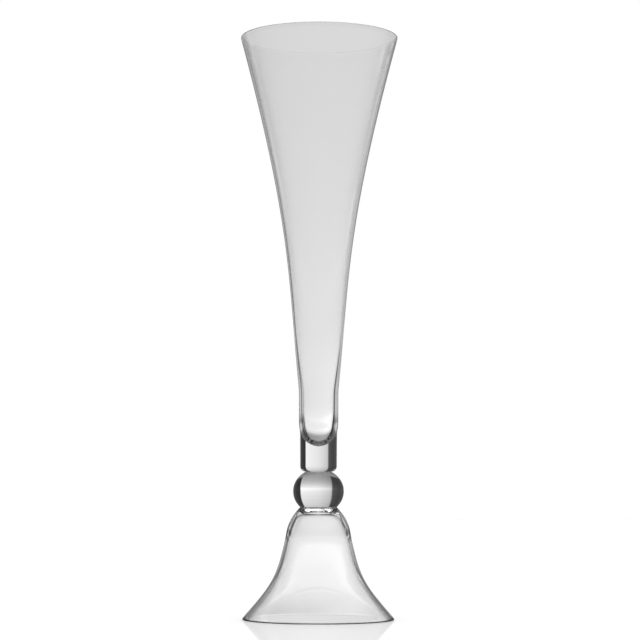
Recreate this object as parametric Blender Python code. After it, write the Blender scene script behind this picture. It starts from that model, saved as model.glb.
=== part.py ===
"""Tulip vase of clear glass, turned about one upright axis.

Four gathers of glass stand on each other and were joined hot: a hollow bell foot, a slightly
flattened solid ball, a solid stub with a cupped top, and a tall trumpet bowl whose rounded end
sits in that cup. Every piece is a profile of lines, arcs and curves, turned through a full circle.

Frame: the origin is the centre of the foot, on the plane that the vase stands on. +Z is up.
A profile point is (radius, height), in metres. Curve pulls are shares of the curve's chord.
"""
import math

import bmesh
import bpy
from mathutils import Vector

# Joints between the gathers
SEAM_GAP = 0.0003               # left open at each hot joint, so that the solids stay apart

# Bell foot
FOOT_RADIUS = 0.0787            # widest point of the rounded foot lip
FOOT_SPLAY = 40.5               # degrees from upright, where the bell meets its lip
FOOT_WALL = 0.0026              # thickness of the glass at the lip
FOOT_LIP_ROUNDING = 0.0008      # outer edge of the lip
FOOT_LIP_INNER_ROUNDING = 0.0005
BELL_HEIGHT = 0.1161            # from the table to the ball's seat
BELL_SHOULDER_HEIGHT = 0.0340   # from the ball's seat down to the flank
BELL_SHOULDER_DROP = 47.8       # degrees below level, where the shoulder leaves the ball
BELL_FLANK_RADIUS = 0.0347      # outside, where the shoulder turns into the flare
BELL_FLANK_SPLAY = 12.3         # degrees from upright
BELL_FLANK_WALL = 0.0036
BELL_CROWN_WALL = 0.0045        # solid glass over the hollow
BELL_CEILING_RADIUS = 0.0108    # level middle of the hollow's ceiling
BELL_SHOULDER_PULLS = (0.587, 0.307)
BELL_CEILING_PULLS = (0.270, 0.400)
BELL_FLARE_PULLS = (0.470, 0.483)

# Ball knop
BALL_RADIUS = 0.02645
BALL_HALF_HEIGHT = 0.0235       # of the whole ball, before its seats are cut level
BALL_LOWER_SEAT_RADIUS = 0.0192
BALL_UPPER_SEAT_RADIUS = 0.0137

# Stem stub
STUB_LENGTH = 0.0440
STUB_TOP_RADIUS = 0.0198
STUB_NECK_RADIUS = 0.0192       # where the stub's shoulder turns straight
STUB_SHOULDER_HEIGHT = 0.0070   # below the stub's top
SHOULDER_SPLAY = 8.0            # degrees from upright, where the bowl's shoulder meets the stub's
STUB_LOWER_RADIUS = 0.01905
STUB_CORNER_HEIGHT = 0.0056     # of the rounded lower corner
CUP_LIP_WALL = 0.0009           # glass of the stub round the top of its cup
CUP_LIP_ROUNDING = 0.0003

# Trumpet bowl
BOWL_LENGTH = 0.4131            # from the stub's top to the mouth
BOWL_END_DEPTH = 0.0220         # of the rounded end that dips into the stub
BOWL_FLOOR_WALL = 0.0037        # glass under the lowest point of the hollow
BARREL_RADIUS = 0.0205          # straight stretch above the stub
BARREL_TOP = 0.0290             # above the stub's top
BARREL_SHOULDER_HEIGHT = 0.0073
BARREL_WALL = 0.0048            # where the hollow's rounded end begins
CAVITY_END_DEPTH = 0.0450       # of the hollow's rounded end
CAVITY_END_PULLS = (0.315, 0.294)
FLARE_START = 0.0430            # above the stub's top
FLARE_START_STEP = 0.0003       # how far the flare already stands out from the barrel there
FLARE_START_SPLAY = 5.9         # degrees from upright
MOUTH_RADIUS = 0.0826
MOUTH_SPLAY = 15.1              # degrees from upright
MOUTH_WALL = 0.0022
THIN_WALL_START = 0.1100        # above the stub's top, where the wall has thinned down
EASE_PULLS = (0.333, 0.333)
FLARE_PULLS = (0.295, 0.569)

# Facets
SEGMENTS = 48                   # round the axis
ROUND_END_STEPS = 8             # from the rim of a rounded end to its pole
CAVITY_END_STEPS = 11
FLARE_STEPS = 14
EASE_STEPS = 4
SHOULDER_STEPS = 8
BELL_FLARE_STEPS = 10
LIP_STEPS = 4
MOUTH_LIP_STEPS = 6
CORNER_STEPS = 5
BALL_STEPS = 14
FLARE_CROWDING = 1.3            # above 1, the flare's rings stand closer near the barrel
SHARP_EDGE = 40.0               # degrees
WELD_DISTANCE = 0.000001

# Finish
GLASS_COLOUR = (0.96, 0.97, 0.97, 1.0)
GLASS_ROUGHNESS = 0.02
GLASS_METALLIC = 0.0
GLASS_IOR = 1.5


def seat_offset(seat_radius):
    """Height between the ball's centre and a level seat of that radius."""
    return BALL_HALF_HEIGHT * math.sqrt(1.0 - (seat_radius / BALL_RADIUS) ** 2)


# Heights of the joints, from the table up
BALL_CENTRE_Z = BELL_HEIGHT + SEAM_GAP + seat_offset(BALL_LOWER_SEAT_RADIUS)
STUB_BOTTOM_Z = BALL_CENTRE_Z + seat_offset(BALL_UPPER_SEAT_RADIUS) + SEAM_GAP
STUB_TOP_Z = STUB_BOTTOM_Z + STUB_LENGTH
BOWL_SEAT_Z = STUB_TOP_Z + SEAM_GAP
MOUTH_Z = STUB_TOP_Z + BOWL_LENGTH

# The bowl's rounded end fills the stub's cup, less the joint.
CUP_RADIUS = STUB_TOP_RADIUS - CUP_LIP_WALL
BOWL_END_RADIUS = CUP_RADIUS - SEAM_GAP

UPRIGHT = Vector((0.0, 1.0))
OUTWARDS = Vector((1.0, 0.0))


def leaning(splay):
    """Unit direction that rises and leans outwards by splay degrees."""
    angle = math.radians(splay)
    return Vector((math.sin(angle), math.cos(angle)))


def curve(start, start_direction, end_direction, end, pulls, steps, crowding=1.0):
    """Cubic curve between two points and directions. Its first point is left out."""
    chord = (end - start).length
    start_handle = start + start_direction * (pulls[0] * chord)
    end_handle = end - end_direction * (pulls[1] * chord)
    points = []
    for i in range(1, steps + 1):
        t = (i / steps) ** crowding
        s = 1.0 - t
        points.append(start * s ** 3 + start_handle * (3 * s * s * t)
                      + end_handle * (3 * s * t * t) + end * t ** 3)
    return points


def ellipse(centre_z, radius, half_height, first_angle, last_angle, steps, centre_radius=0.0):
    """Points on an ellipse, from one angle above level to another, in degrees."""
    points = []
    for i in range(steps + 1):
        angle = math.radians(first_angle + (last_angle - first_angle) * i / steps)
        points.append(Vector((centre_radius + radius * math.cos(angle),
                              centre_z + half_height * math.sin(angle))))
    return points


def corner(vertex, before, after, radius, steps):
    """Arc that rounds the corner at vertex, between the unit directions in and out of it."""
    half_turn = before.angle(after) / 2.0
    reach = radius * math.tan(half_turn)
    centre = vertex + (after - before).normalized() * (radius / math.cos(half_turn))
    first_spoke = (vertex - before * reach - centre).normalized()
    last_spoke = (vertex + after * reach - centre).normalized()
    return [centre + first_spoke.slerp(last_spoke, i / steps) * radius for i in range(steps + 1)]


def smooth_step(share):
    """0 to 1 with level ends."""
    share = min(max(share, 0.0), 1.0)
    return share * share * (3.0 - 2.0 * share)


def turned_piece(name, profile):
    """Turns a profile, which runs down the piece's outer side, into one closed solid."""
    mesh = bpy.data.meshes.new(name)
    work = bmesh.new()
    verts = [work.verts.new((radius, 0.0, height)) for radius, height in profile]
    edges = [work.edges.new(pair) for pair in zip(verts, verts[1:])]
    bmesh.ops.spin(work, geom=verts + edges, cent=(0, 0, 0), axis=(0, 0, 1),
                   angle=math.tau, steps=SEGMENTS, use_merge=True)
    bmesh.ops.remove_doubles(work, verts=work.verts, dist=WELD_DISTANCE)
    bmesh.ops.recalc_face_normals(work, faces=work.faces)
    work.to_mesh(mesh)
    work.free()
    mesh.materials.append(glass(name + "_glass"))
    mesh.shade_smooth()
    mesh.set_sharp_from_angle(angle=math.radians(SHARP_EDGE))
    piece = bpy.data.objects.new(name, mesh)
    bpy.context.scene.collection.objects.link(piece)
    return piece


def glass(name):
    """Clear glass for one piece."""
    material = bpy.data.materials.new(name)
    material.use_nodes = True
    shader = material.node_tree.nodes["Principled BSDF"]
    shader.inputs["Base Color"].default_value = GLASS_COLOUR
    shader.inputs["Roughness"].default_value = GLASS_ROUGHNESS
    shader.inputs["Metallic"].default_value = GLASS_METALLIC
    shader.inputs["IOR"].default_value = GLASS_IOR
    shader.inputs["Transmission Weight"].default_value = 1.0
    return material


def bell_foot():
    """Hollow bell with a thick crown, standing on a rounded lip with a narrow ground ring."""
    lip_down = -leaning(-FOOT_SPLAY)
    flank_down = -leaning(-BELL_FLANK_SPLAY)

    # The lip has two corners on the table. The outer one is rounded back to the foot's radius.
    outer_reach = FOOT_LIP_ROUNDING * math.tan(lip_down.angle(-OUTWARDS) / 2.0)
    outer_corner = Vector((FOOT_RADIUS - FOOT_LIP_ROUNDING + outer_reach, 0.0))
    inner_corner = outer_corner - OUTWARDS * (FOOT_WALL / math.cos(math.radians(FOOT_SPLAY)))
    lip = corner(outer_corner, lip_down, -OUTWARDS, FOOT_LIP_ROUNDING, LIP_STEPS)
    lip += corner(inner_corner, -OUTWARDS, -lip_down, FOOT_LIP_INNER_ROUNDING, LIP_STEPS)

    # Outside, from the ball's seat over the shoulder and the flank down to the lip.
    drop = math.radians(BELL_SHOULDER_DROP)
    shoulder_down = Vector((math.cos(drop), -math.sin(drop)))
    seat_edge = Vector((BALL_LOWER_SEAT_RADIUS, BELL_HEIGHT))
    flank = Vector((BELL_FLANK_RADIUS, BELL_HEIGHT - BELL_SHOULDER_HEIGHT))
    outside = curve(seat_edge, shoulder_down, flank_down, flank, BELL_SHOULDER_PULLS,
                    SHOULDER_STEPS)
    outside += curve(flank, flank_down, lip_down, lip[0], BELL_FLARE_PULLS, BELL_FLARE_STEPS)

    # Inside, also from the top down: a level ceiling, and then the same flank and flare.
    ceiling_z = BELL_HEIGHT - BELL_CROWN_WALL
    ceiling_edge = Vector((BELL_CEILING_RADIUS, ceiling_z))
    inner_flank = flank + Vector((flank_down.y, -flank_down.x)) * BELL_FLANK_WALL
    inside = [Vector((0.0, ceiling_z)), ceiling_edge]
    inside += curve(ceiling_edge, OUTWARDS, flank_down, inner_flank, BELL_CEILING_PULLS,
                    SHOULDER_STEPS)
    inside += curve(inner_flank, flank_down, lip_down, lip[-1], BELL_FLARE_PULLS,
                    BELL_FLARE_STEPS)

    seat = [Vector((0.0, BELL_HEIGHT)), seat_edge]
    return turned_piece("bell_foot", seat + outside + lip[1:] + inside[-2::-1])


def ball_knop():
    """Solid ball, a little lower than it is wide, cut level where the bell and the stub join it."""
    upper_angle = math.degrees(math.acos(BALL_UPPER_SEAT_RADIUS / BALL_RADIUS))
    lower_angle = -math.degrees(math.acos(BALL_LOWER_SEAT_RADIUS / BALL_RADIUS))
    side = ellipse(BALL_CENTRE_Z, BALL_RADIUS, BALL_HALF_HEIGHT, upper_angle, lower_angle,
                   BALL_STEPS)
    top = Vector((0.0, side[0].y))
    bottom = Vector((0.0, side[-1].y))
    return turned_piece("ball_knop", [top] + side + [bottom])


def stem_stub():
    """Solid cylinder, cupped on top for the bowl's rounded end and rounded over below."""
    cup_depth = BOWL_END_DEPTH + SEAM_GAP
    cup_edge_angle = -math.degrees(math.asin(SEAM_GAP / cup_depth))
    cup = ellipse(BOWL_SEAT_Z, CUP_RADIUS, cup_depth, -90.0, cup_edge_angle, ROUND_END_STEPS)
    shoulder_down = -leaning(SHOULDER_SPLAY)
    lip = corner(Vector((STUB_TOP_RADIUS, STUB_TOP_Z)), OUTWARDS, shoulder_down,
                 CUP_LIP_ROUNDING, LIP_STEPS // 2)
    neck = Vector((STUB_NECK_RADIUS, STUB_TOP_Z - STUB_SHOULDER_HEIGHT))
    shoulder = curve(lip[-1], shoulder_down, -UPRIGHT, neck, EASE_PULLS, EASE_STEPS)
    rounding = ellipse(STUB_BOTTOM_Z + STUB_CORNER_HEIGHT,
                       STUB_LOWER_RADIUS - BALL_UPPER_SEAT_RADIUS, STUB_CORNER_HEIGHT,
                       0.0, -90.0, CORNER_STEPS, centre_radius=BALL_UPPER_SEAT_RADIUS)
    profile = cup + lip + shoulder + rounding + [Vector((0.0, STUB_BOTTOM_Z))]
    return turned_piece("stem_stub", profile)


def trumpet_side():
    """Outer side of the trumpet from the barrel's top to the mouth, and its direction up."""
    lip_radius = MOUTH_WALL / 2.0
    lip_centre = Vector((MOUTH_RADIUS - lip_radius, MOUTH_Z - lip_radius))
    mouth_up = leaning(MOUTH_SPLAY)
    mouth = lip_centre + Vector((mouth_up.y, -mouth_up.x)) * lip_radius
    flare_up = leaning(FLARE_START_SPLAY)
    barrel_top = Vector((BARREL_RADIUS, STUB_TOP_Z + BARREL_TOP))
    flare_start = Vector((BARREL_RADIUS + FLARE_START_STEP, STUB_TOP_Z + FLARE_START))

    points = [barrel_top]
    points += curve(barrel_top, UPRIGHT, flare_up, flare_start, EASE_PULLS, EASE_STEPS)
    points += curve(flare_start, flare_up, mouth_up, mouth, FLARE_PULLS, FLARE_STEPS,
                    FLARE_CROWDING)
    directions = [UPRIGHT]
    directions += [(above - below).normalized() for below, above in zip(points, points[2:])]
    directions.append(mouth_up)
    return points, directions, lip_centre


def trumpet_bowl():
    """Blown trumpet: thin at the mouth, heavy in the barrel, with a rounded end and hollow."""
    outside, directions, lip_centre = trumpet_side()
    cavity_floor = Vector((0.0, BOWL_SEAT_Z - BOWL_END_DEPTH + BOWL_FLOOR_WALL))
    cavity_end_z = cavity_floor.y + CAVITY_END_DEPTH
    cavity_end = [cavity_floor]
    cavity_end += curve(cavity_floor, OUTWARDS, UPRIGHT,
                        Vector((BARREL_RADIUS - BARREL_WALL, cavity_end_z)),
                        CAVITY_END_PULLS, CAVITY_END_STEPS)

    # The hollow follows the outside at the wall's thickness, which swells smoothly down to the
    # rounded end, a little below the barrel's top.
    thin_start_z = STUB_TOP_Z + THIN_WALL_START
    inside = []
    for point, up in zip(outside, directions):
        swell = smooth_step((thin_start_z - point.y) / (thin_start_z - cavity_end_z))
        wall = MOUTH_WALL + (BARREL_WALL - MOUTH_WALL) * swell
        inside.append(point + Vector((-up.y, up.x)) * wall)

    # Fire-polished mouth: a half circle from the inner side over to the outer one.
    mouth_lip = ellipse(lip_centre.y, MOUTH_WALL / 2.0, MOUTH_WALL / 2.0, 180.0 - MOUTH_SPLAY,
                        -MOUTH_SPLAY, MOUTH_LIP_STEPS, centre_radius=lip_centre.x)

    barrel_foot = Vector((BARREL_RADIUS, BOWL_SEAT_Z + BARREL_SHOULDER_HEIGHT))
    land_edge = Vector((STUB_TOP_RADIUS, BOWL_SEAT_Z))
    shoulder = curve(barrel_foot, -UPRIGHT, -leaning(SHOULDER_SPLAY), land_edge, EASE_PULLS,
                     EASE_STEPS)
    rounded_end = ellipse(BOWL_SEAT_Z, BOWL_END_RADIUS, BOWL_END_DEPTH, 0.0, -90.0,
                          ROUND_END_STEPS)

    profile = cavity_end + inside + mouth_lip[1:-1] + outside[::-1]
    profile += [barrel_foot] + shoulder + rounded_end
    return turned_piece("trumpet_bowl", profile)


def clear_scene():
    """Empties the scene that the script starts in."""
    for leftover in list(bpy.data.objects):
        bpy.data.objects.remove(leftover, do_unlink=True)


clear_scene()
bell_foot()
ball_knop()
stem_stub()
trumpet_bowl()
print(f"height {MOUTH_Z:.4f} m, mouth {2 * MOUTH_RADIUS:.4f} m, foot {2 * FOOT_RADIUS:.4f} m")
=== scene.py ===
# %% [markdown]
# # A tulip vase of clear glass
#
# The vase is a tall trumpet on a stub, a ball and a hollow bell. All of it is colourless glass, so
# there is no paint, grain or print to copy. What the eye reads as glass is the way it bends the
# room behind it. This notebook therefore spends its effort on three things: smooth turned surfaces
# with true walls, a clear glass with painted shade at its edges, and a studio that gives the glass
# something to bend.
#
# The first cell loads the imported model. It is the measure for every piece that follows.

# %% Load the frame
import bpy
import math
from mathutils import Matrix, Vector


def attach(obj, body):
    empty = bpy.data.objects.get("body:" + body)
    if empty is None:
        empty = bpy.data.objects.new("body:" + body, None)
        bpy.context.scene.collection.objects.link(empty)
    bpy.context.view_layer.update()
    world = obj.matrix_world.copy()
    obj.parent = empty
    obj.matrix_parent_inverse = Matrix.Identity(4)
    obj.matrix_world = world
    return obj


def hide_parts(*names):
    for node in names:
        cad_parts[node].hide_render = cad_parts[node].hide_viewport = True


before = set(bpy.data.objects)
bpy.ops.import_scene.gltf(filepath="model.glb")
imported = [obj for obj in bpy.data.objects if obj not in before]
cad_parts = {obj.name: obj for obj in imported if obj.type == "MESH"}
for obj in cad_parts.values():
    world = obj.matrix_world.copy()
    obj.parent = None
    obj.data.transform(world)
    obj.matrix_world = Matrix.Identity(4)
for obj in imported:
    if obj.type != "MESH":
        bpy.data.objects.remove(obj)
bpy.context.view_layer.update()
print("nodes:", sorted(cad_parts))

# %% [markdown]
# ## Writing node trees as arithmetic
#
# A node tree is a formula, and formulas are easier to read as text than as boxes and links. The
# small class below wraps one output socket. Adding, multiplying or comparing two of them adds the
# Math node that does it, so `1 - mask` is a real expression. Every other node is made by one
# method, `node`.

# %% A socket that does arithmetic
class Value:
    """One number in a node tree. Signs of arithmetic on it add Math nodes."""

    def __init__(self, tree, socket):
        self.tree = tree
        self.socket = socket

    def math(self, operation, *values):
        return self.tree.node("ShaderNodeMath", {"operation": operation},
                              dict(enumerate(values)))[0]

    def __add__(self, other):
        return self.math("ADD", self, other)

    def __radd__(self, other):
        return self.math("ADD", other, self)

    def __sub__(self, other):
        return self.math("SUBTRACT", self, other)

    def __rsub__(self, other):
        return self.math("SUBTRACT", other, self)

    def __mul__(self, other):
        return self.math("MULTIPLY", self, other)

    def __rmul__(self, other):
        return self.math("MULTIPLY", other, self)

    def __truediv__(self, other):
        return self.math("DIVIDE", self, other)

    def __rtruediv__(self, other):
        return self.math("DIVIDE", other, self)

    def floor(self):
        return self.math("FLOOR", self)

    def above(self, limit):
        """1 above the limit, 0 below it."""
        return self.math("GREATER_THAN", self, limit)

    def rise(self, low, high, from_value=0.0, to_value=1.0):
        """Smooth step from one level to another, between two numbers."""
        return self.tree.node("ShaderNodeMapRange", {"interpolation_type": "SMOOTHSTEP"},
                              {"Value": self, "From Min": low, "From Max": high,
                               "To Min": from_value, "To Max": to_value})[0]


class Outputs:
    """The outputs of one node, by number or by name."""

    def __init__(self, tree, node):
        self.tree = tree
        self.node = node

    def __getitem__(self, key):
        if isinstance(key, int):
            shown = [socket for socket in self.node.outputs if socket.enabled]
            return Value(self.tree, shown[key])
        return Value(self.tree, self.node.outputs[key])


# %% A tree that is written as code
class Tree:
    """A node tree whose nodes are all made by one method."""

    def __init__(self, node_tree):
        self.nodes = node_tree.nodes
        self.links = node_tree.links

    def node(self, kind, settings=None, values=None):
        """Adds a node: settings first, then the numbers or links of its sockets."""
        made = self.nodes.new(kind)
        for name, setting in (settings or {}).items():
            if name == "stops":
                self.set_stops(made.color_ramp, setting)
            else:
                setattr(made, name, setting)
        for name, value in (values or {}).items():
            self.feed(self.input_of(made, name), value)
        return Outputs(self, made)

    def input_of(self, made, key):
        """An input by number, or by its name among those that its settings leave in use."""
        if isinstance(key, int):
            return made.inputs[key]
        return next(socket for socket in made.inputs if socket.name == key and socket.enabled)

    def feed(self, socket, value):
        """Gives a socket a link or a plain value."""
        if isinstance(value, Value):
            self.links.new(value.socket, socket)
        else:
            socket.default_value = value

    def set_stops(self, ramp, stops):
        """Grey stops of a ramp, as (position, brightness)."""
        for extra in list(ramp.elements)[1:]:
            ramp.elements.remove(extra)
        for number, (position, grey) in enumerate(stops):
            stop = ramp.elements[0] if number == 0 else ramp.elements.new(position)
            stop.position = position
            stop.color = (grey, grey, grey, 1.0)


# %% [markdown]
# ## Drawing a profile
#
# Each piece is one outline, turned through a full circle. An outline is a list of stretches, and
# each stretch knows what kind of surface it becomes: the outside, the hollow, or a joint where two
# pieces were pressed together hot. Light passes a joint as if it weren't there, so joints need
# their own finish, and marking them here is simpler than finding them again on a finished mesh.
#
# The sizes are those of the solid model, in metres and degrees, and each is given where it is
# first used. The joints between the four pieces are closed here, half-way across the solid model's
# seams: hot glass flows together, and a gap of even a tenth of a millimetre would show as a bright
# line.

# %% Lines and curves of a profile
OUTSIDE, HOLLOW, JOINT = 0, 1, 2
UP = Vector((0.0, 1.0))
OUT = Vector((1.0, 0.0))
EVEN_PULLS = (0.333, 0.333)


def leaning(splay):
    """Unit direction that rises and leans outwards by splay degrees."""
    angle = math.radians(splay)
    return Vector((math.sin(angle), math.cos(angle)))


def curve(start, start_way, end_way, end, pulls, steps, crowding=1.0):
    """Cubic curve between two points and directions, both ends included."""
    chord = (end - start).length
    first = start + start_way * (pulls[0] * chord)
    last = end - end_way * (pulls[1] * chord)
    points = []
    for i in range(steps + 1):
        t = (i / steps) ** crowding
        s = 1.0 - t
        points.append(start * s ** 3 + first * (3 * s * s * t)
                      + last * (3 * s * t * t) + end * t ** 3)
    return points


def ellipse(centre, radius, height, first_angle, last_angle, steps, centre_radius=0.0):
    """Points on an ellipse from one angle above level to another, in degrees."""
    points = []
    for i in range(steps + 1):
        angle = math.radians(first_angle + (last_angle - first_angle) * i / steps)
        points.append(Vector((centre_radius + radius * math.cos(angle),
                              centre + height * math.sin(angle))))
    return points


def straight(start, end, steps):
    """Evenly spaced points on a line, both ends included."""
    return [start.lerp(end, i / steps) for i in range(steps + 1)]


def corner(vertex, before, after, radius, steps):
    """Arc that rounds the corner at vertex, between the unit directions in and out of it."""
    half_turn = before.angle(after) / 2.0
    reach = radius * math.tan(half_turn)
    centre = vertex + (after - before).normalized() * (radius / math.cos(half_turn))
    first = (vertex - before * reach - centre).normalized()
    last = (vertex + after * reach - centre).normalized()
    return [centre + first.slerp(last, i / steps) * radius for i in range(steps + 1)]


def report(name, outline):
    """Prints the size of an outline in millimetres, and hands it on."""
    widths = [2000.0 * point.x for stretch, _ in outline for point in stretch]
    heights = [1000.0 * point.y for stretch, _ in outline for point in stretch]
    print(f"{name}: outline of {len(widths)} points, {max(widths):.1f} mm wide, "
          f"from {min(heights):.1f} to {max(heights):.1f} mm high")
    return outline


# %% [markdown]
# ### Letting the outline settle
#
# Where two drawn curves join, their bend changes suddenly, and clear glass shows each such place
# as a line. On the real vase the pull of the hot surface evens it out. A subdivided mesh would be
# smooth as well, but it would shrink away from the sizes. So `relaxed` averages the path with its
# ends held, over a chosen reach, and `spread` then thins the points: many in the bends, few on the
# straights. That keeps every turned piece below 200,000 triangles with no facet to be seen.

# %% Smoothing and thinning a path
SPACING = 0.0006
STRIDE = 0.0045
TURN = math.radians(1.5)


def stepped(points, marks, count, place):
    """The same path in count steps, even by the marks that its points carry."""
    path = [points[0]]
    segment = 0
    for i in range(1, count):
        wanted = marks[-1] * i / count
        while marks[segment + 1] < wanted:
            segment += 1
        share = (wanted - marks[segment]) / (marks[segment + 1] - marks[segment])
        path.append(place(segment, share))
    return path + [points[-1]]


def relaxed(points, reach):
    """Evens out a path's bend over about that reach, as surface tension does on hot glass."""
    lengths = [0.0]
    for before, after in zip(points, points[1:]):
        lengths.append(lengths[-1] + (after - before).length)
    path = stepped(points, lengths, max(2, round(lengths[-1] / SPACING)),
                   lambda i, share: points[i].lerp(points[i + 1], share))
    for _ in range(round(2.0 * (reach / SPACING) ** 2)):
        middle = [(a + b * 2.0 + c) / 4.0 for a, b, c in zip(path, path[1:], path[2:])]
        path = [path[0]] + middle + [path[-1]]
    return path


def between(a, b, c, d, share):
    """Point on the smooth curve through four points, between the second and the third."""
    return b + ((c - a) + ((a * 2.0 - b * 5.0 + c * 4.0 - d)
                           + (b * 3.0 - a - c * 3.0 + d) * share) * share) * (0.5 * share)


def spread(points):
    """The same path with fewer points: one for each STRIDE of length and TURN of its bends."""
    ways = [(after - before).normalized() for before, after in zip(points, points[1:])]
    turns = [0.0] + [before.angle(after) for before, after in zip(ways, ways[1:])] + [0.0]
    worth = [0.0]
    for i in range(len(ways)):
        length = (points[i + 1] - points[i]).length
        worth.append(worth[-1] + length / STRIDE + (turns[i] + turns[i + 1]) / (2.0 * TURN))
    return stepped(points, worth, round(worth[-1]),
                   lambda i, share: between(points[max(i - 1, 0)], points[i], points[i + 1],
                                            points[min(i + 2, len(points) - 1)], share))


# %% [markdown]
# ### The bell
#
# On the real vase the foot looks like a blown bubble that was opened and flared while hot. It is
# open below and stands on its rolled lip. Its outside leaves the ball at a slope, turns down a
# shoulder and then flares. The hollow could be the outside moved in by one thickness, but the real
# wall isn't even: it is thickest at the crown, over a level ceiling. So the hollow has curves of
# its own.

# %% Outline of the bell
FOOT_RADIUS = 0.0787
FOOT_SPLAY = 40.5
FOOT_WALL = 0.0026
FOOT_LIP_ROUNDING = 0.0008
FOOT_LIP_INNER_ROUNDING = 0.0005
BELL_TOP = 0.1161
BELL_SHOULDER_HEIGHT = 0.0340
BELL_SHOULDER_DROP = 47.8
BELL_SHOULDER_PULLS = (0.587, 0.307)
BELL_FLANK_RADIUS = 0.0347
BELL_FLANK_SPLAY = 12.3
BELL_FLANK_WALL = 0.0036
BELL_FLARE_PULLS = (0.470, 0.483)
BELL_CROWN_WALL = 0.0045
BELL_CEILING_RADIUS = 0.0108
BELL_CEILING_PULLS = (0.270, 0.400)
BELL_EASE = 0.0025
SEAM = 0.0003
BELL_MEETS_BALL = BELL_TOP + SEAM / 2.0
BALL_LOWER_SEAT_RADIUS = 0.0192
SEAT_STEPS = 4
CEILING_STEPS = 8
LIP_STEPS = 10
INNER_LIP_STEPS = 8
SHOULDER_STEPS = 60
FLARE_STEPS = 80


def bell_outline():
    lip_down = -leaning(-FOOT_SPLAY)
    flank_down = -leaning(-BELL_FLANK_SPLAY)
    outer_reach = FOOT_LIP_ROUNDING * math.tan(lip_down.angle(-OUT) / 2.0)
    outer_corner = Vector((FOOT_RADIUS - FOOT_LIP_ROUNDING + outer_reach, 0.0))
    inner_corner = outer_corner - OUT * (FOOT_WALL / math.cos(math.radians(FOOT_SPLAY)))
    lip = corner(outer_corner, lip_down, -OUT, FOOT_LIP_ROUNDING, LIP_STEPS)
    lip += corner(inner_corner, -OUT, -lip_down, FOOT_LIP_INNER_ROUNDING, INNER_LIP_STEPS)

    drop = math.radians(BELL_SHOULDER_DROP)
    shoulder_down = Vector((math.cos(drop), -math.sin(drop)))
    neck = Vector((BALL_LOWER_SEAT_RADIUS, BELL_MEETS_BALL))
    edge = Vector((BALL_LOWER_SEAT_RADIUS, BELL_TOP))
    flank = Vector((BELL_FLANK_RADIUS, BELL_TOP - BELL_SHOULDER_HEIGHT))
    ceiling = BELL_TOP - BELL_CROWN_WALL
    ceiling_edge = Vector((BELL_CEILING_RADIUS, ceiling))
    inner_flank = flank + Vector((flank_down.y, -flank_down.x)) * BELL_FLANK_WALL

    hollow = curve(ceiling_edge, OUT, flank_down, inner_flank, BELL_CEILING_PULLS, SHOULDER_STEPS)
    hollow += curve(inner_flank, flank_down, lip_down, lip[-1], BELL_FLARE_PULLS, FLARE_STEPS)[1:]
    hollow = straight(Vector((0.0, ceiling)), ceiling_edge, CEILING_STEPS) \
        + spread(relaxed(hollow, BELL_EASE))[1:]
    outside = curve(edge, shoulder_down, flank_down, flank, BELL_SHOULDER_PULLS, SHOULDER_STEPS)
    outside += curve(flank, flank_down, lip_down, lip[0], BELL_FLARE_PULLS, FLARE_STEPS)[1:]
    outside = [neck] + spread(relaxed(outside, BELL_EASE))
    return [(straight(Vector((0.0, BELL_MEETS_BALL)), neck, SEAT_STEPS), JOINT),
            (outside, OUTSIDE),
            (lip, OUTSIDE),
            (hollow[::-1], HOLLOW)]


OUTLINES = {"bell_foot": report("bell_foot", bell_outline())}

# %% [markdown]
# ### The ball and the stub
#
# Both are solid gathers of glass. The ball is a little lower than it is wide, as if it was pressed
# while soft. The stub is a short rod, cupped on top for the trumpet's rounded end and rounded over
# below. A ready-made sphere and cylinder would need their poles and rims cut to fit each other.
# Turned outlines end exactly on the seats.

# %% Outlines of the ball and the stub
BALL_RADIUS = 0.02645
BALL_HALF_HEIGHT = 0.0235
BALL_UPPER_SEAT_RADIUS = 0.0137
BALL_CENTRE = 0.13256
BALL_TOP = 0.15267
STUB_BOTTOM = 0.15297
STUB_TOP = 0.19697
STUB_TOP_RADIUS = 0.0198
STUB_NECK_RADIUS = 0.0192
STUB_SHOULDER_HEIGHT = 0.0070
SHOULDER_SPLAY = 8.0
STUB_LOWER_RADIUS = 0.01905
STUB_CORNER_HEIGHT = 0.0056
CUP_RADIUS = 0.0189
BOWL_SEAT = 0.19727
BOWL_END_DEPTH = 0.0220
STUB_MEETS_BALL = (BALL_TOP + STUB_BOTTOM) / 2.0
BOWL_MEETS_STUB = (STUB_TOP + BOWL_SEAT) / 2.0
BALL_STEPS = 96
CUP_STEPS = 40
ROUNDING_STEPS = 32
STUB_SIDE_STEPS = 12
STUB_SHOULDER_STEPS = 24


def ball_outline():
    upper = math.degrees(math.acos(BALL_UPPER_SEAT_RADIUS / BALL_RADIUS))
    lower = -math.degrees(math.acos(BALL_LOWER_SEAT_RADIUS / BALL_RADIUS))
    side = ellipse(BALL_CENTRE, BALL_RADIUS, BALL_HALF_HEIGHT, upper, lower, BALL_STEPS)
    top = Vector((BALL_UPPER_SEAT_RADIUS, STUB_MEETS_BALL))
    bottom = Vector((BALL_LOWER_SEAT_RADIUS, BELL_MEETS_BALL))
    return [(straight(Vector((0.0, top.y)), top, SEAT_STEPS), JOINT),
            ([top] + side + [bottom], OUTSIDE),
            (straight(bottom, Vector((0.0, bottom.y)), SEAT_STEPS), JOINT)]


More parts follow.
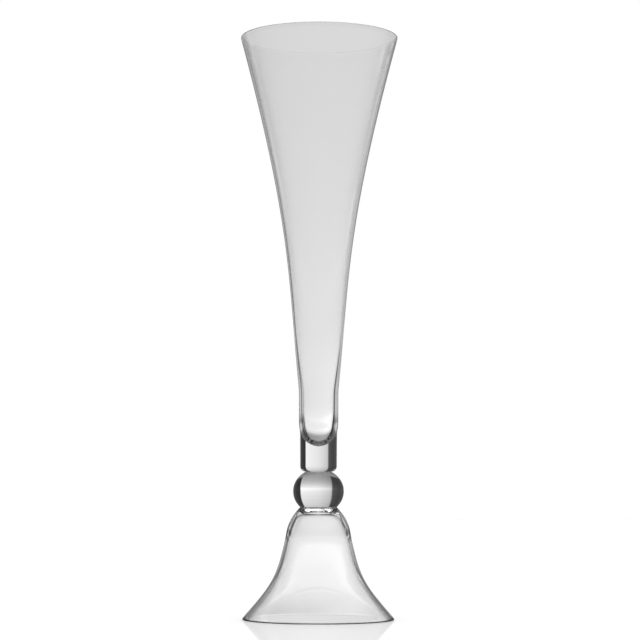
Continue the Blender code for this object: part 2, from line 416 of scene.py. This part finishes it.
def stub_outline():
    cup_depth = BOWL_SEAT - STUB_TOP + BOWL_END_DEPTH
    cup_edge = -math.degrees(math.asin((BOWL_SEAT - STUB_TOP) / cup_depth))
    cup = ellipse(BOWL_SEAT, CUP_RADIUS, cup_depth, -90.0, cup_edge, CUP_STEPS)
    rim = Vector((STUB_TOP_RADIUS, BOWL_MEETS_STUB))
    rounding = ellipse(STUB_BOTTOM + STUB_CORNER_HEIGHT,
                       STUB_LOWER_RADIUS - BALL_UPPER_SEAT_RADIUS, STUB_CORNER_HEIGHT,
                       0.0, -90.0, ROUNDING_STEPS, centre_radius=BALL_UPPER_SEAT_RADIUS)
    foot = Vector((BALL_UPPER_SEAT_RADIUS, STUB_MEETS_BALL))
    neck = Vector((STUB_NECK_RADIUS, STUB_TOP - STUB_SHOULDER_HEIGHT))
    shoulder = curve(rim, -leaning(SHOULDER_SPLAY), -UP, neck, EVEN_PULLS, STUB_SHOULDER_STEPS)
    side = straight(neck, rounding[0], STUB_SIDE_STEPS)
    return [(cup + [rim], JOINT),
            (shoulder + side[1:] + rounding[1:] + [foot], OUTSIDE),
            (straight(foot, Vector((0.0, foot.y)), SEAT_STEPS), JOINT)]


OUTLINES["ball_knop"] = report("ball_knop", ball_outline())
OUTLINES["stem_stub"] = report("stem_stub", stub_outline())

# %% [markdown]
# ### The trumpet
#
# The real trumpet looks blown and drawn out. It is thin at its mouth and heavy at the bottom, with
# a rounded rim. Its wall could be a Solidify modifier on one surface, but that gives one thickness
# only. Here the hollow is the outside moved inwards by a thickness that swells towards the barrel,
# and it ends in a long rounded tip.

# %% Outline of the trumpet
BOWL_END_RADIUS = 0.0186
BOWL_FLOOR_WALL = 0.0037
BARREL_RADIUS = 0.0205
BARREL_TOP = 0.0290
BARREL_SHOULDER_HEIGHT = 0.0073
BARREL_WALL = 0.0048
CAVITY_END_DEPTH = 0.0450
CAVITY_END_PULLS = (0.315, 0.294)
FLARE_START = 0.0430
FLARE_START_STEP = 0.0003
FLARE_START_SPLAY = 5.9
FLARE_PULLS = (0.295, 0.569)
FLARE_CROWDING = 1.3
MOUTH_HEIGHT = 0.61007
MOUTH_RADIUS = 0.0826
MOUTH_SPLAY = 15.1
MOUTH_WALL = 0.0022
THIN_WALL_START = 0.1100
TRUMPET_EASE = 0.0030
BARREL_STEPS = 24
BEND_STEPS = 16
LONG_FLARE_STEPS = 88
CAVITY_END_STEPS = 60
MOUTH_STEPS = 16


def smooth_step(share):
    """0 to 1 with level ends."""
    share = min(max(share, 0.0), 1.0)
    return share * share * (3.0 - 2.0 * share)


def trumpet_side(cavity_end, mouth, mouth_up):
    """The outside from the height where the hollow's tip ends, up to the mouth."""
    flare_up = leaning(FLARE_START_SPLAY)
    barrel_top = Vector((BARREL_RADIUS, STUB_TOP + BARREL_TOP))
    flare_start = Vector((BARREL_RADIUS + FLARE_START_STEP, STUB_TOP + FLARE_START))
    side = straight(Vector((BARREL_RADIUS, cavity_end)), barrel_top, BARREL_STEPS)
    side += curve(barrel_top, UP, flare_up, flare_start, EVEN_PULLS, BEND_STEPS)[1:]
    side += curve(flare_start, flare_up, mouth_up, mouth, FLARE_PULLS, LONG_FLARE_STEPS,
                  FLARE_CROWDING)[1:]
    return relaxed(side, TRUMPET_EASE)


def moved_in(side, cavity_end, mouth_up):
    """The hollow's wall: the outside, moved in by a thickness that swells downwards."""
    steps = [(after - before).normalized() for before, after in zip(side, side[2:])]
    thin_start = STUB_TOP + THIN_WALL_START
    inner = []
    for point, way in zip(side, [UP] + steps + [mouth_up]):
        swell = smooth_step((thin_start - point.y) / (thin_start - cavity_end))
        wall = MOUTH_WALL + (BARREL_WALL - MOUTH_WALL) * swell
        inner.append(point + Vector((-way.y, way.x)) * wall)
    return inner


def trumpet_outline():
    lip_radius = MOUTH_WALL / 2.0
    lip_centre = Vector((MOUTH_RADIUS - lip_radius, MOUTH_HEIGHT - lip_radius))
    mouth_up = leaning(MOUTH_SPLAY)
    mouth = lip_centre + Vector((mouth_up.y, -mouth_up.x)) * lip_radius
    cavity_end = BOWL_SEAT - BOWL_END_DEPTH + BOWL_FLOOR_WALL + CAVITY_END_DEPTH
    side = trumpet_side(cavity_end, mouth, mouth_up)

    end = curve(Vector((0.0, cavity_end - CAVITY_END_DEPTH)), OUT, UP,
                Vector((BARREL_RADIUS - BARREL_WALL, cavity_end)), CAVITY_END_PULLS,
                CAVITY_END_STEPS)
    hollow = spread(relaxed(end + moved_in(side, cavity_end, mouth_up)[1:], TRUMPET_EASE))
    lip = ellipse(lip_centre.y, lip_radius, lip_radius, 180.0 - MOUTH_SPLAY, -MOUTH_SPLAY,
                  MOUTH_STEPS, centre_radius=lip_centre.x)
    rim = Vector((STUB_TOP_RADIUS, BOWL_MEETS_STUB))
    barrel_foot = Vector((BARREL_RADIUS, BOWL_SEAT + BARREL_SHOULDER_HEIGHT))
    outside = spread(side)[::-1] + curve(barrel_foot, -UP, -leaning(SHOULDER_SPLAY), rim,
                                         EVEN_PULLS, STUB_SHOULDER_STEPS)
    rounded_end = ellipse(BOWL_SEAT, BOWL_END_RADIUS, BOWL_END_DEPTH, 0.0, -90.0, CUP_STEPS)
    return [(hollow, HOLLOW), (lip, OUTSIDE), (outside, OUTSIDE), ([rim] + rounded_end, JOINT)]


OUTLINES["trumpet_bowl"] = report("trumpet_bowl", trumpet_outline())

# %% [markdown]
# ## Turning the outlines with Geometry Nodes
#
# A turned piece follows one rule: every point of the outline goes round a circle. Screw and Spin
# can do that, but a node tree also lets each row of facets keep its kind of surface, and its facet
# count stays open to change. The tree lays out a flat grid, with a row for each outline point and
# a column for each step round the circle, moves every grid point to its place, and welds the seam
# and the poles. Half a step is added before each division, so that rounding can't drop a point
# into the row before.

# %% The turning tree
GLASS_INPUTS = {OUTSIDE: "Outside Glass", HOLLOW: "Hollow Glass", JOINT: "Joint Glass"}
SAME_KIND = 0.25
HALF_STEP = 0.5


def sampled(tree, outline, kind, value, row):
    """Reads a value of the outline at the point with that number."""
    return tree.node("GeometryNodeSampleIndex", {"data_type": kind, "domain": "POINT"},
                     {"Geometry": outline, "Value": value, "Index": row})[0]


def turning_tree():
    made = bpy.data.node_groups.new("turned_glass", "GeometryNodeTree")
    made.interface.new_socket("Geometry", in_out="OUTPUT", socket_type="NodeSocketGeometry")
    inputs = {"Outline": "Geometry", "Facets": "Int", "Weld Distance": "Float"}
    inputs.update({name: "Material" for name in GLASS_INPUTS.values()})
    for name, kind in inputs.items():
        made.interface.new_socket(name, in_out="INPUT", socket_type="NodeSocket" + kind)
    tree = Tree(made)
    given = tree.node("NodeGroupInput")
    outline = given["Outline"]
    facets = given["Facets"]
    rows = tree.node("GeometryNodeAttributeDomainSize", {"component": "MESH"},
                     {"Geometry": outline})["Point Count"]
    grid = tree.node("GeometryNodeMeshGrid", {},
                     {"Vertices X": rows, "Vertices Y": facets + 1})["Mesh"]

    index = tree.node("GeometryNodeInputIndex")[0]
    row = ((index + HALF_STEP) / (facets + 1)).floor()
    column = index - row * (facets + 1)
    place = sampled(tree, outline, "FLOAT_VECTOR", tree.node("GeometryNodeInputPosition")[0], row)
    turned = tree.node("ShaderNodeVectorRotate", {"rotation_type": "Z_AXIS"},
                       {"Vector": place, "Angle": column * math.tau / facets})[0]
    result = tree.node("GeometryNodeSetPosition", {}, {"Geometry": grid, "Position": turned})[0]

    surface = tree.node("GeometryNodeInputNamedAttribute", {"data_type": "FLOAT"},
                        {"Name": "surface"})[0]
    face_row = ((index + HALF_STEP) / facets).floor()
    kind = sampled(tree, outline, "FLOAT", surface, face_row)
    result = tree.node("GeometryNodeSetMaterial", {},
                       {"Geometry": result, "Material": given[GLASS_INPUTS[OUTSIDE]]})[0]
    for number in (HOLLOW, JOINT):
        chosen = kind.math("COMPARE", kind, number, SAME_KIND)
        result = tree.node("GeometryNodeSetMaterial", {},
                           {"Geometry": result, "Selection": chosen,
                            "Material": given[GLASS_INPUTS[number]]})[0]
    result = tree.node("GeometryNodeMergeByDistance", {},
                       {"Geometry": result, "Distance": given["Weld Distance"]})[0]
    for kind_of_node in ("GeometryNodeSetShadeSmooth", "GeometryNodeRealizeInstances"):
        result = tree.node(kind_of_node, {}, {"Geometry": result})[0]
    tree.node("NodeGroupOutput", {}, {"Geometry": result})
    print("turning tree:", len(made.nodes), "nodes")
    return made


turned_glass = turning_tree()

# %% [markdown]
# ### From an outline to a plain mesh
#
# The outline becomes a chain of edges whose points carry their kind of surface, and the tree turns
# it. The piece could keep its live modifier, but the final mesh is what gets measured, exported
# and checked. So the turned result is copied to a mesh of its own, and the guide and its modifier
# go.

# %% Turning one outline
FACETS = 256
WELD_DISTANCE = 0.000002
SHARP_EDGE = 30.0


def volume(mesh):
    """Signed volume: positive when the faces point out."""
    total = 0.0
    for face in mesh.polygons:
        corners = [mesh.vertices[i].co for i in face.vertices]
        for second, third in zip(corners[1:], corners[2:]):
            total += corners[0].dot(second.cross(third)) / 6.0
    return total


def guide_mesh(name, outline):
    """A chain of edges along the outline. Where stretches meet, the later one's kind counts."""
    points = []
    kinds = []
    for stretch, kind in outline:
        if points:
            stretch = stretch[1:]
            kinds[-1] = kind
        points += stretch
        kinds += [kind] * len(stretch)
    mesh = bpy.data.meshes.new(name)
    mesh.from_pydata([(p.x, 0.0, p.y) for p in points],
                     [(i, i + 1) for i in range(len(points) - 1)], [])
    surface = mesh.attributes.new("surface", "FLOAT", "POINT")
    surface.data.foreach_set("value", [float(k) for k in kinds])
    return mesh


def turn(name, outline, tree, glasses):
    """Turns an outline into a plain closed mesh, one object with its place in its mesh."""
    guide = bpy.data.objects.new(name + "_outline", guide_mesh(name + "_outline", outline))
    bpy.context.scene.collection.objects.link(guide)
    modifier = guide.modifiers.new("turned", "NODES")
    modifier.node_group = tree
    inputs = {"Facets": FACETS, "Weld Distance": WELD_DISTANCE}
    inputs.update({GLASS_INPUTS[kind]: glass for kind, glass in glasses.items()})
    for socket, value in inputs.items():
        modifier[tree.interface.items_tree[socket].identifier] = value
    seen = guide.evaluated_get(bpy.context.evaluated_depsgraph_get())
    turned = bpy.data.meshes.new_from_object(seen)
    turned.name = name
    turned.set_sharp_from_angle(angle=math.radians(SHARP_EDGE))
    piece = bpy.data.objects.new(name, turned)
    bpy.context.scene.collection.objects.link(piece)
    bpy.data.objects.remove(guide, do_unlink=True)
    triangles = sum(len(face.vertices) - 2 for face in turned.polygons)
    print(f"{name}: {triangles} triangles, {volume(turned) * 1e6:.1f} cm3")
    return piece


# %% [markdown]
# ## Clear glass
#
# The real vase looks like one colourless glass, smooth from the fire, without film or dye. A
# transmitting surface with an index of 1.5 and no roughness bends and mirrors light as such a
# glass does. The faces where two pieces meet are made fully see-through, so that light passes them
# as it passes solid glass.
#
# In the photograph the outlines are darker than clean bending makes them, probably because of dark
# things in the room. An absorbing volume would darken the heavy ball and crown as well, which are
# bright. So the outside's colour carries painted shade: it falls where the surface turns away from
# the eye, with a level for each height, and falls again in two painted dark lines: at the foot's
# lip, only on the first surface that the eye meets, and at the mouth. These levels were tuned
# against the photograph and stand for the dark room's shade, not for a dye. A shade of four
# numbers is a step: the two heights where it begins and ends, and the two levels there.

# %% Glass materials
CLEAR = (0.988, 0.988, 0.988, 1.0)
DARK = (0.0, 0.0, 0.0, 1.0)
GLASS_INDEX = 1.5
EVEN_BLEND = 0.5
# Painted shade on the outside glass: darker where it turns away, by height, and in painted dark
# lines at the lip and the mouth.
TURNING_AWAY = (0.58, 0.74)
ONE_CROSSING = 0.5
LIP_SHADE = (0.0010, 0.0019, 0.65, 0.0)
MOUTH_SHADE = (0.6045, 0.6065, 1.0, 0.955)
PAINTED_MOUTH_LINE = (0.6084, 0.6092, 1.0, 0.85)
FACE_SHADE_STOPS = [(0.0, 1.0), (0.085, 1.0), (0.104, 0.955), (0.19, 0.975), (0.225, 0.935),
              (0.30, 0.90), (0.45, 0.90), (0.61, 0.895)]
EDGE_SHADE_STOPS = [(0.0, 0.35), (0.05, 0.45), (0.068, 0.30), (0.085, 0.60), (0.105, 0.65),
              (0.111, 0.65), (0.1125, 0.95), (0.118, 0.95), (0.16, 0.75), (0.20, 0.60),
              (0.24, 0.60), (0.28, 1.0), (0.61, 1.0)]


def level_at(value, stops):
    """A brightness that is given at some places, from the first stop to the last."""
    start, end = stops[0][0], stops[-1][0]
    return value.tree.node("ShaderNodeValToRGB",
                           {"stops": [((place - start) / (end - start), level)
                                      for place, level in stops]},
                           {"Fac": (value - start) / (end - start)})[0]


def facing(tree):
    """0 where a surface faces the ray, 1 where it turns away from it."""
    return tree.node("ShaderNodeLayerWeight", {}, {"Blend": EVEN_BLEND})["Facing"]


def painted_glass_shade(tree):
    """Painted shade: clear face on, darker where the glass turns away, with a level for each
    height and two painted dark lines.
    """
    turned_away = facing(tree).rise(*TURNING_AWAY)
    place = tree.node("ShaderNodeTexCoord")["Object"]
    height = tree.node("ShaderNodeSeparateXYZ", {}, {"Vector": place})["Z"]
    first = 1 - tree.node("ShaderNodeLightPath")["Transmission Depth"].above(ONE_CROSSING)
    # Painted dark lines at the foot's lip, on the first surface only, and at the mouth.
    painted_lip_line = 1 - first * height.rise(*LIP_SHADE)
    painted_mouth_line = height.rise(*MOUTH_SHADE) * height.rise(*PAINTED_MOUTH_LINE)
    # Painted shade where the outside turns away from the ray, with a level for each height.
    edges = 1 - turned_away * (1 - level_at(height, EDGE_SHADE_STOPS))
    kept = level_at(height, FACE_SHADE_STOPS) * painted_lip_line * painted_mouth_line * edges
    return tree.node("ShaderNodeMix", {"data_type": "RGBA"},
                     {"Factor": kept, "A": DARK, "B": CLEAR})


def glass(name, alpha=1.0, painted_shade=False):
    material = bpy.data.materials.new(name)
    material.use_nodes = True
    shader = material.node_tree.nodes["Principled BSDF"]
    tree = Tree(material.node_tree)
    values = {"Base Color": painted_glass_shade(tree)[0] if painted_shade else CLEAR, "Roughness": 0.0,
              "IOR": GLASS_INDEX, "Transmission Weight": 1.0, "Alpha": alpha}
    for socket, value in values.items():
        tree.feed(shader.inputs[socket], value)
    print(f"{name}: {len(material.node_tree.nodes)} nodes")
    return material


# Only the outside glass carries the painted shade.
glasses = {OUTSIDE: glass("outside_glass", painted_shade=True), HOLLOW: glass("hollow_glass"),
           JOINT: glass("joint_glass", alpha=0.0)}

# %% [markdown]
# ## The four pieces
#
# Each outline is turned, takes the place of its node of the solid model, and says which material
# slot it wears. The real vase doesn't move in itself, so all four ride the one root.

# %% Turn the four pieces
for node in ("trumpet_bowl", "stem_stub", "ball_knop", "bell_foot"):
    piece = turn(node + "_glass", OUTLINES[node], turned_glass, glasses)
    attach(piece, "root")
    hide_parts(node)

# %% [markdown]
# ## The studio
#
# Glass has no colour of its own, so its picture is made by what stands round it. A photographer
# moves cards and flags until every edge reads. Here the same is done by kind of ray, because light
# that crosses the thin trumpet, light that crosses the solid ball and light that is mirrored
# inside a wall each want a different room. The number of crossings and mirrors that a ray has
# behind it tells them apart: four crossings lead through a hollow piece, two through a solid one.
# What the outside mirrors is faint, and gets one level all round.

# %% Kinds of light
DEGREES = 180.0 / math.pi
ONE_MIRROR = 0.5
FAR_WALL = 3.5
OUTSIDE_LEVEL = 0.2


def kinds_of_light(tree):
    """Four masks: seen through a hollow, through solid glass, mirrored inside or outside."""
    path = tree.node("ShaderNodeLightPath")
    crossings = path["Transmission Depth"]
    mirrored = path["Glossy Depth"].above(ONE_MIRROR)
    inside = mirrored * crossings.above(ONE_CROSSING)
    hollow = crossings.above(FAR_WALL)
    return (1 - mirrored) * hollow, (1 - mirrored) * (1 - hollow), inside, mirrored - inside


def round_the_vase(parts):
    """Degrees round the vase: 0 behind it, 90 on its right."""
    return parts["X"].math("ARCTAN2", parts["X"], parts["Y"]) * DEGREES


# %% [markdown]
# ### The levels round the vase
#
# A real studio would have a bright sweep behind the vase, black flags beside it and a window at
# each side. The lists give the brightness by degrees round the vase, 0 behind it: first for light
# that crosses solid glass, then for light mirrored inside a wall, then for light through the
# hollow trumpet, against the room and against the table. They were tuned by comparing the render
# with the photograph.

# %% Levels by direction
WINDOW_STOPS = [(-180, 0.9), (-153, 0.9), (-151, 0.06), (-104, 0.06), (-102, 0.9), (-78, 0.9),
                (-76, 0.05), (-40, 0.05), (-24.5, 0.09), (-23, 0.11), (-21.5, 0.66), (-17, 0.76),
                (0, 1.0), (30, 1.16), (32, 1.16), (33.5, 0.03), (40, 0.02), (76, 0.02),
                (78, 0.9), (102, 0.9), (104, 0.05), (151, 0.05), (153, 0.9), (180, 0.9)]
INSIDE_STOPS = [(-180, 0.15), (-60, 0.15), (-50, 0.85), (-42, 0.30), (-31, 0.12), (-26, 0.52),
                (-20, 0.56), (-16, 0.95), (-13, 0.95), (-10, 0.28), (-7, 0.28), (-4, 0.75),
                (0, 0.95), (7, 0.95), (11, 0.80), (14, 0.55), (18, 0.45), (22, 0.42), (24, 0.60),
                (28, 0.75), (33, 0.58), (41, 0.42), (50, 0.08), (70, 0.08), (180, 0.15)]
THROUGH_STOPS = [(-180, 1.0), (-60, 1.0), (-12, 0.95), (-5, 0.97), (0, 1.0), (6, 1.04),
                 (12, 1.06), (60, 1.0), (180, 1.0)]
FLOOR_SIDE_STOPS = [(-180, 1.0), (-60, 1.0), (-12, 0.93), (-5, 0.96), (0, 1.0), (3, 1.03),
                    (6, 1.10), (12, 1.16), (60, 1.0), (180, 1.0)]

# %% [markdown]
# ### The room
#
# The photograph's background is plain white, and the dark lines in the glass say that darker
# things stood beside and above it. A painted panorama could give them, but only a formula can tell
# the kinds of ray apart, so the world is one. The eye itself sees plain white, and matt surfaces
# see a little more than white, which brings the table out white too. Light that has passed the
# glass sees the lists below, by degrees above the horizon, times the lists round the vase.

# %% World
HEIGHT_STOPS = [(-90, 0.6), (-5, 1.05), (-1.5, 1.05), (0, 0.88), (6, 0.82), (10, 0.77),
                (11, 0.79), (12, 0.79), (14, 0.75), (23, 0.70), (40, 0.55), (60, 0.45),
                (66, 0.45), (70, 2.0), (90, 2.0)]
THROUGH_HEIGHT_STOPS = [(-90, 1.05), (-1.3, 1.05), (0, 1.01), (1.5, 0.99), (3.6, 0.985),
                        (5.6, 0.965), (7.4, 0.915), (11, 0.88), (13, 0.80), (18, 0.72),
                        (26, 0.10), (40, 0.10), (48, 1.1), (90, 1.1)]
INSIDE_HEIGHT_STOPS = [(-90, 0.3), (-14, 0.3), (-8, 0.5), (-4, 1.0), (4, 1.0), (7, 0.8), (9, 0.5),
                       (12, 0.25), (14, 1.3), (16, 1.3), (18, 0.25), (21, 0.25), (25, 1.2),
                       (38, 1.2), (44, 2.2), (90, 2.2)]
MIDDLE_HEIGHT_STOPS = [(-90, 1.0), (2, 1.0), (5, 0.36), (16, 0.36), (22, 1.6), (90, 1.6)]
OVERHEAD = (55.0, 66.0)
TO_THE_SIDE = (8.0, 16.0)
EXTRA_WHITE = 0.06


def studio_world():
    world = bpy.data.worlds.new("studio")
    world.use_nodes = True
    world.node_tree.nodes.clear()
    tree = Tree(world.node_tree)
    direction = tree.node("ShaderNodeTexCoord")["Generated"]
    parts = tree.node("ShaderNodeSeparateXYZ", {}, {"Vector": direction})
    height = parts["Z"].math("ARCSINE", parts["Z"]) * DEGREES
    azimuth = round_the_vase(parts)
    through, solid, inside, outside = kinds_of_light(tree)

    overhead = height.rise(*OVERHEAD)
    window = overhead + (1 - overhead) * level_at(azimuth, WINDOW_STOPS)
    solid_level = window * level_at(height, HEIGHT_STOPS)
    to_the_side = azimuth.math("ABSOLUTE", azimuth).rise(*TO_THE_SIDE)
    lowered = to_the_side * level_at(height, INSIDE_HEIGHT_STOPS) \
        + (1 - to_the_side) * level_at(height, MIDDLE_HEIGHT_STOPS)
    inside_level = level_at(azimuth, INSIDE_STOPS) * lowered
    through_level = level_at(height, THROUGH_HEIGHT_STOPS) * level_at(azimuth, THROUGH_STOPS)
    level = (through * through_level + solid * solid_level + inside * inside_level
             + outside * OUTSIDE_LEVEL)

    path = tree.node("ShaderNodeLightPath")
    white_level = 1.0 + EXTRA_WHITE - path["Is Camera Ray"] * EXTRA_WHITE
    room = tree.node("ShaderNodeBackground", {}, {"Color": level})[0]
    white = tree.node("ShaderNodeBackground", {}, {"Color": white_level})[0]
    blurred = path["Is Glossy Ray"] * (1 - path["Is Singular Ray"])
    plain = path["Is Camera Ray"] + path["Is Diffuse Ray"] + blurred
    seen = tree.node("ShaderNodeMixShader", {}, {0: plain, 1: room, 2: white})[0]
    tree.node("ShaderNodeOutputWorld", {}, {"Surface": seen})
    bpy.context.scene.world = world
    print("world:", len(world.node_tree.nodes), "nodes")


studio_world()

# %% [markdown]
# ### The table
#
# The vase stands on a white table with a little polish, which mirrors it softly below its foot.
# The eye sees that plain table. A plain white table would also make the ball and the crown one
# flat white, while the real ones show dark bands. So rays that have passed the glass see instead a
# table that glows with painted light and shade by the lists below, by metres from the vase, with a
# painted sheen that makes it brighter at a slant. A ray that has dropped a long way since it left
# the glass can only have crossed the trumpet, so it takes the trumpet's levels.

# %% Floor
FLOOR_STOPS = [(0.0, 0.80), (0.10, 0.80), (0.14, 0.24), (0.2, 0.28), (0.25, 0.345), (0.365, 0.43),
               (0.58, 0.60), (0.8, 0.75), (1.43, 0.98), (2.0, 1.04), (2.6, 1.0), (4.0, 0.92),
               (5.0, 0.88)]
FLOOR_THROUGH_STOPS = [(0.0, 0.80), (0.33, 0.88), (0.61, 0.94), (0.77, 0.95), (0.86, 1.0),
                       (0.93, 0.97), (0.99, 0.93), (1.06, 1.02), (1.39, 1.04), (1.94, 1.10),
                       (2.5, 1.13), (3.0, 1.13), (4.0, 1.07), (5.0, 1.05)]
FLOOR_INSIDE_STOPS = [(0.0, 0.25), (0.14, 0.25), (0.25, 0.15), (0.7, 0.25), (1.2, 0.35),
                      (1.7, 0.6), (2.6, 0.9), (4.0, 1.0), (5.0, 1.0)]
FLAGS_BEGIN = (0.21, 0.27)
TRUMPET_DROP = 0.23
PAINTED_SHEEN = (0.50, 0.82, 0.45, 1.0)
WHITE = (1.0, 1.0, 1.0, 1.0)
POLISH_SHARE = 0.4
POLISH_ROUGHNESS = 0.05
POLISH_INDEX = 1.5
TABLE_REACH = 6.0


def table_material():
    material = bpy.data.materials.new("white_table")
    material.use_nodes = True
    material.node_tree.nodes.clear()
    tree = Tree(material.node_tree)
    place = tree.node("ShaderNodeTexCoord")["Object"]
    away = tree.node("ShaderNodeVectorMath", {"operation": "LENGTH"}, {0: place})["Value"]
    azimuth = round_the_vase(tree.node("ShaderNodeSeparateXYZ", {}, {"Vector": place}))
    through, solid, inside, outside = kinds_of_light(tree)

    under = 1 - away.rise(*FLAGS_BEGIN)
    window = under + (1 - under) * level_at(azimuth, WINDOW_STOPS)
    solid_level = window * level_at(away, FLOOR_STOPS)
    inside_level = level_at(azimuth, INSIDE_STOPS) * level_at(away, FLOOR_INSIDE_STOPS)
    path = tree.node("ShaderNodeLightPath")
    slant = facing(tree)
    from_trumpet = (path["Ray Length"] * (1 - slant)).above(TRUMPET_DROP)
    through = through + solid * from_trumpet
    solid = solid * (1 - from_trumpet)
    # Painted sheen: the table's glow is brighter where a ray meets it at a slant.
    sheen = slant.rise(*PAINTED_SHEEN)
    sheen = sheen + from_trumpet * (1 - sheen)
    through_level = level_at(away, FLOOR_THROUGH_STOPS) * sheen \
        * level_at(azimuth, FLOOR_SIDE_STOPS)
    level = (through * through_level + solid * solid_level + inside * inside_level
             + outside * OUTSIDE_LEVEL)

    # The table's painted light and shade, seen only by rays that have passed the glass.
    lit = tree.node("ShaderNodeEmission", {}, {"Color": level, "Strength": 1.0})[0]
    paper = tree.node("ShaderNodeBsdfDiffuse", {}, {"Color": WHITE})[0]
    polish = tree.node("ShaderNodeBsdfAnisotropic", {},
                       {"Color": WHITE, "Roughness": POLISH_ROUGHNESS})[0]
    mirrored = tree.node("ShaderNodeFresnel", {}, {"IOR": POLISH_INDEX})[0] * POLISH_SHARE
    table = tree.node("ShaderNodeMixShader", {}, {0: mirrored, 1: paper, 2: polish})[0]
    seen = tree.node("ShaderNodeMixShader", {}, {0: path["Is Camera Ray"], 1: lit, 2: table})[0]
    tree.node("ShaderNodeOutputMaterial", {}, {"Surface": seen})
    print(f"white_table: {len(material.node_tree.nodes)} nodes")
    return material


def studio_floor():
    mesh = bpy.data.meshes.new("studio_floor")
    mesh.from_pydata([(x * TABLE_REACH, y * TABLE_REACH, 0)
                      for x, y in ((-1, -1), (1, -1), (1, 1), (-1, 1))], [], [(0, 1, 2, 3)])
    mesh.materials.append(table_material())
    floor = bpy.data.objects.new("studio_floor", mesh)
    bpy.context.scene.collection.objects.link(floor)


studio_floor()

# %% [markdown]
# ### The camera
#
# The ellipses of the mouth and of the foot tell how far away the real camera was and how high it
# stood. It stands low, looks up a little, and is rolled by a tenth of a degree, which shares out
# the slight lean of the real trumpet. Light crosses four surfaces of a hollow piece and is
# mirrored between them many times, so the limits on its bounces are high. Otherwise the edges
# would turn black.

# %% Camera
SENSOR_WIDTH = 36.0
PICTURE_WIDTH = 640.0
FOCAL_LENGTH_IN_PIXELS = 2179.56
CAMERA_PLACE = (0.00157, -2.2739, 0.1425)
LEVEL = 90.0
CAMERA_TILT = 4.242
CAMERA_ROLL = -0.1


def camera():
    data = bpy.data.cameras.new("camera")
    data.sensor_width = SENSOR_WIDTH
    data.lens = FOCAL_LENGTH_IN_PIXELS / PICTURE_WIDTH * SENSOR_WIDTH
    data.clip_end = 100.0
    made = bpy.data.objects.new("camera", data)
    made.location = CAMERA_PLACE
    made.rotation_euler = (math.radians(LEVEL + CAMERA_TILT), math.radians(CAMERA_ROLL), 0.0)
    bpy.context.scene.collection.objects.link(made)
    bpy.context.scene.camera = made
    print(f"camera: {data.lens:.1f} mm lens, {-made.location.y:.2f} m from the vase's axis")


camera()
scene = bpy.context.scene
scene.view_settings.view_transform = "Standard"
scene.cycles.max_bounces = 32
scene.cycles.transmission_bounces = 24
scene.cycles.glossy_bounces = 16
scene.cycles.transparent_max_bounces = 32
scene.cycles.use_denoising = True
